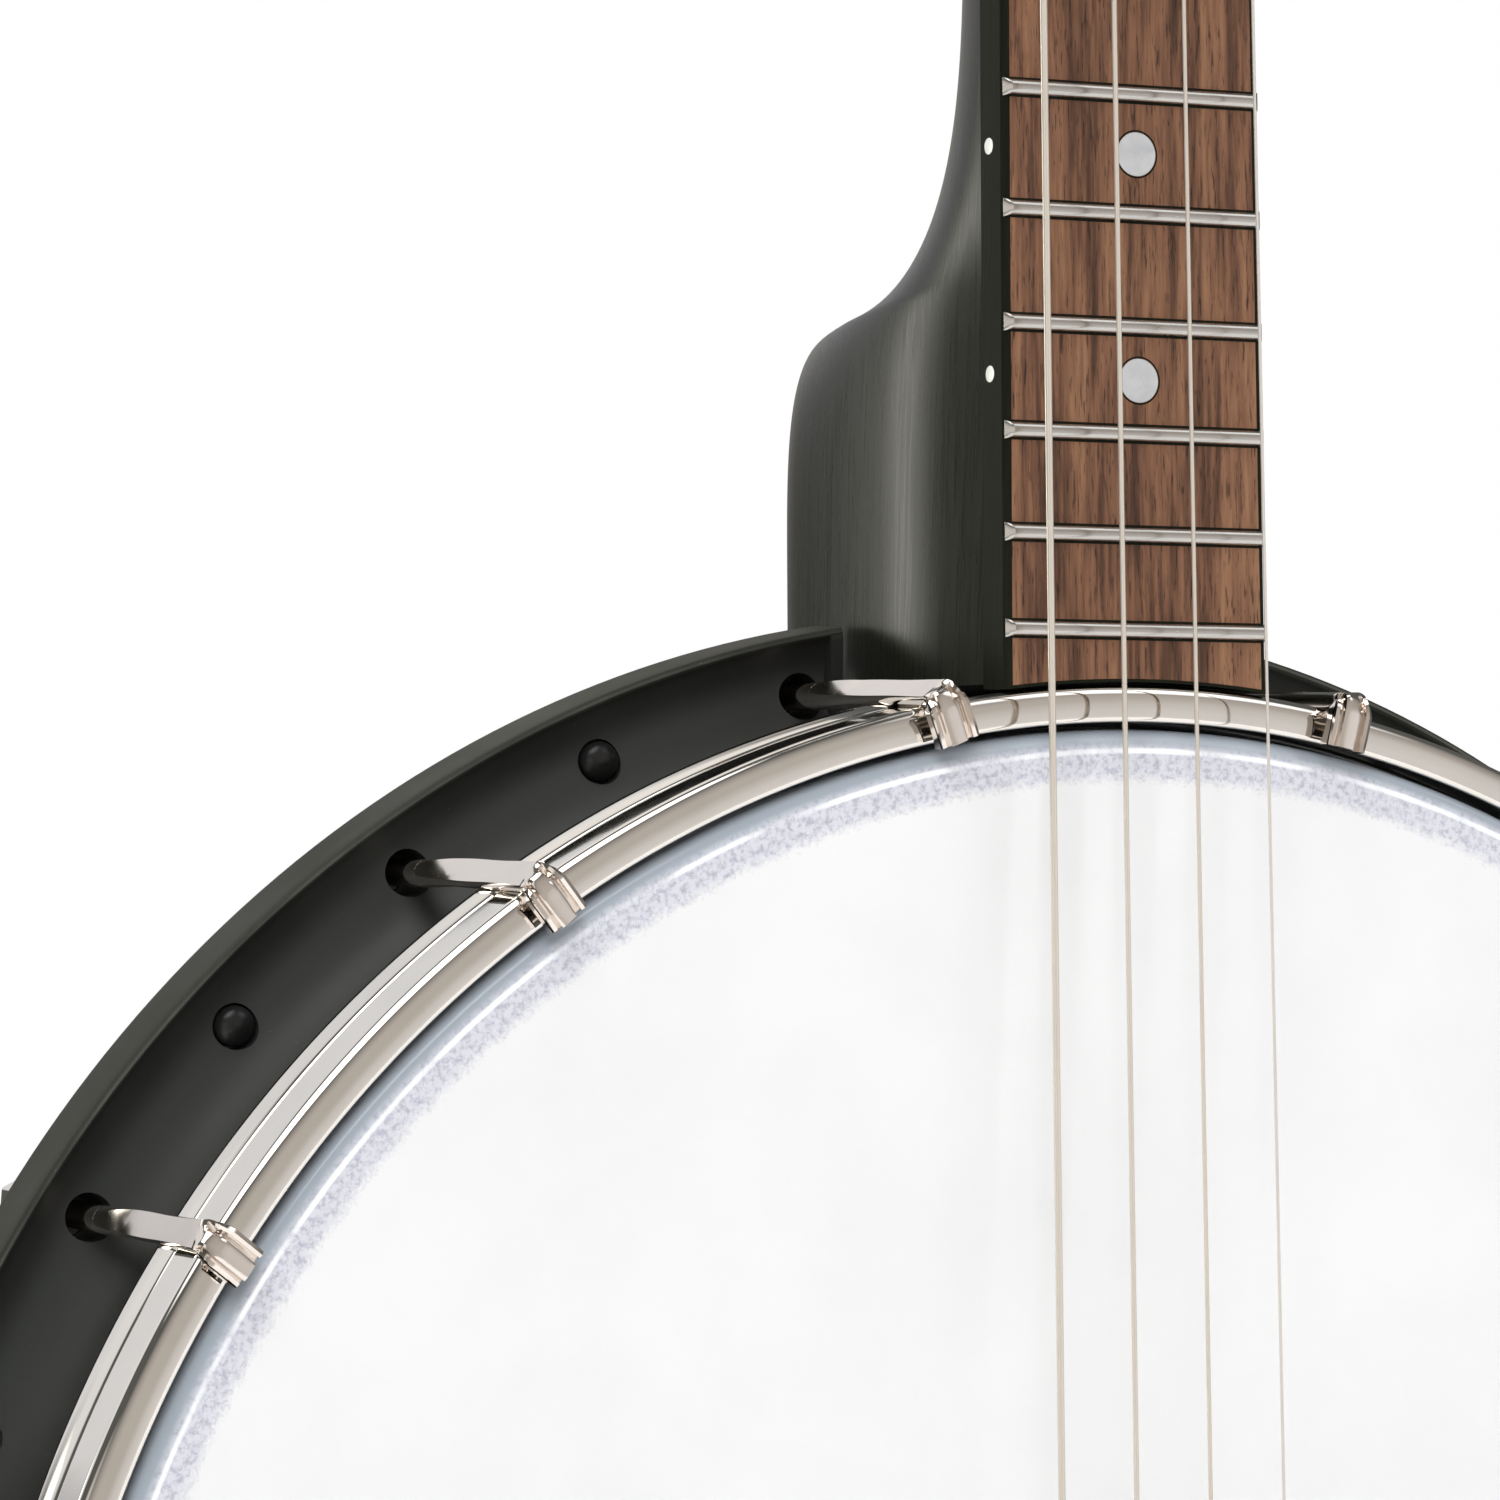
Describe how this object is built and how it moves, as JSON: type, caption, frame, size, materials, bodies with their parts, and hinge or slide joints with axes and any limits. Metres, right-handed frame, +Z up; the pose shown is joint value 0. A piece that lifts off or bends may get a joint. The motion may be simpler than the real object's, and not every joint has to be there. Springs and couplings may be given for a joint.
{
  "type": "tenor banjo",
  "caption": "Open-back four-string tenor banjo: a round pot with a tensioned head and a hooked hoop, a fretted neck, geared tuners, a bridge and a tailpiece.",
  "frame": {"origin": "centre of the head's playing surface, on the pot's axis", "axes": "+Z up the neck towards the peghead, -Y out of the head towards the listener, +X towards the treble side"},
  "size_m": [0.3092, 0.1168, 0.854],
  "materials": {
    "moulded_black": "matte black moulding, faint fine texture",
    "head_film": "white sprayed frosting on a clear polyester film",
    "nickel": "bright nickel plate",
    "satin_black": "satin black finish over fine-grained wood",
    "rosewood": "open-pored dark streaked fingerboard, waxed",
    "bone": "polished bone-white",
    "maple": "plain maple with a dark hardwood cap",
    "string_steel": "plain and wound steel",
    "steel": "plated steel",
    "pearl": "cloudy pearl-like plastic"
  },
  "bodies": {
    "root": {"rim_flange": "moulded_black", "head": "head_film", "flesh_hoop": "steel", "tension_hoop": "nickel", "coordinator_rod": "steel", "neck_stud": "steel", "rod_nut": "nickel", "tailpiece": "nickel", "bridge": "maple", "neck": "satin_black", "fretboard": "rosewood", "nut": "bone", "hook_01": "nickel", "hook_nut_01": "nickel", "hook_02": "nickel", "hook_nut_02": "nickel", "hook_03": "nickel", "hook_nut_03": "nickel", "hook_04": "nickel", "hook_nut_04": "nickel", "hook_05": "nickel", "hook_nut_05": "nickel", "hook_06": "nickel", "hook_nut_06": "nickel", "hook_07": "nickel", "hook_nut_07": "nickel", "hook_08": "nickel", "hook_nut_08": "nickel", "hook_09": "nickel", "hook_nut_09": "nickel", "hook_10": "nickel", "hook_nut_10": "nickel", "hook_11": "nickel", "hook_nut_11": "nickel", "hook_12": "nickel", "hook_nut_12": "nickel", "hook_13": "nickel", "hook_nut_13": "nickel", "hook_14": "nickel", "hook_nut_14": "nickel", "hook_15": "nickel", "hook_nut_15": "nickel", "hook_16": "nickel", "hook_nut_16": "nickel", "string_1": "string_steel", "tuner_housing_1": "nickel", "string_2": "string_steel", "tuner_housing_2": "nickel", "string_3": "string_steel", "tuner_housing_3": "nickel", "string_4": "string_steel", "tuner_housing_4": "nickel"},
    "tuner_post_1": {"tuner_post_1": "nickel"},
    "tuner_button_1": {"tuner_button_1": "pearl"},
    "tuner_post_2": {"tuner_post_2": "nickel"},
    "tuner_button_2": {"tuner_button_2": "pearl"},
    "tuner_post_3": {"tuner_post_3": "nickel"},
    "tuner_button_3": {"tuner_button_3": "pearl"},
    "tuner_post_4": {"tuner_post_4": "nickel"},
    "tuner_button_4": {"tuner_button_4": "pearl"}
  },
  "joints": [
    {"name": "tuner_button_1_turn", "type": "hinge", "parent": "root", "child": "tuner_button_1", "pos_m": [-0.0215, 0.03993, 0.58926], "axis": [0, 0.9659, -0.2588], "continuous": true},
    {"name": "tuner_post_1_turn", "type": "hinge", "parent": "root", "child": "tuner_post_1", "pos_m": [-0.0215, 0.03993, 0.58926], "axis": [0, 0.9659, -0.2588], "continuous": true},
    {"name": "tuner_button_2_turn", "type": "hinge", "parent": "root", "child": "tuner_button_2", "pos_m": [-0.02, 0.05287, 0.63755], "axis": [0, 0.9659, -0.2588], "continuous": true},
    {"name": "tuner_post_2_turn", "type": "hinge", "parent": "root", "child": "tuner_post_2", "pos_m": [-0.02, 0.05287, 0.63755], "axis": [0, 0.9659, -0.2588], "continuous": true},
    {"name": "tuner_button_3_turn", "type": "hinge", "parent": "root", "child": "tuner_button_3", "pos_m": [0.02, 0.05287, 0.63755], "axis": [0, 0.9659, -0.2588], "continuous": true},
    {"name": "tuner_post_3_turn", "type": "hinge", "parent": "root", "child": "tuner_post_3", "pos_m": [0.02, 0.05287, 0.63755], "axis": [0, 0.9659, -0.2588], "continuous": true},
    {"name": "tuner_button_4_turn", "type": "hinge", "parent": "root", "child": "tuner_button_4", "pos_m": [0.0215, 0.03993, 0.58926], "axis": [0, 0.9659, -0.2588], "continuous": true},
    {"name": "tuner_post_4_turn", "type": "hinge", "parent": "root", "child": "tuner_post_4", "pos_m": [0.0215, 0.03993, 0.58926], "axis": [0, 0.9659, -0.2588], "continuous": true}
  ],
  "couplings": [
    {"joint": "tuner_post_1_turn", "follows": "tuner_button_1_turn", "ratio": 0.25},
    {"joint": "tuner_post_2_turn", "follows": "tuner_button_2_turn", "ratio": 0.25},
    {"joint": "tuner_post_3_turn", "follows": "tuner_button_3_turn", "ratio": 0.25},
    {"joint": "tuner_post_4_turn", "follows": "tuner_button_4_turn", "ratio": 0.25}
  ]
}
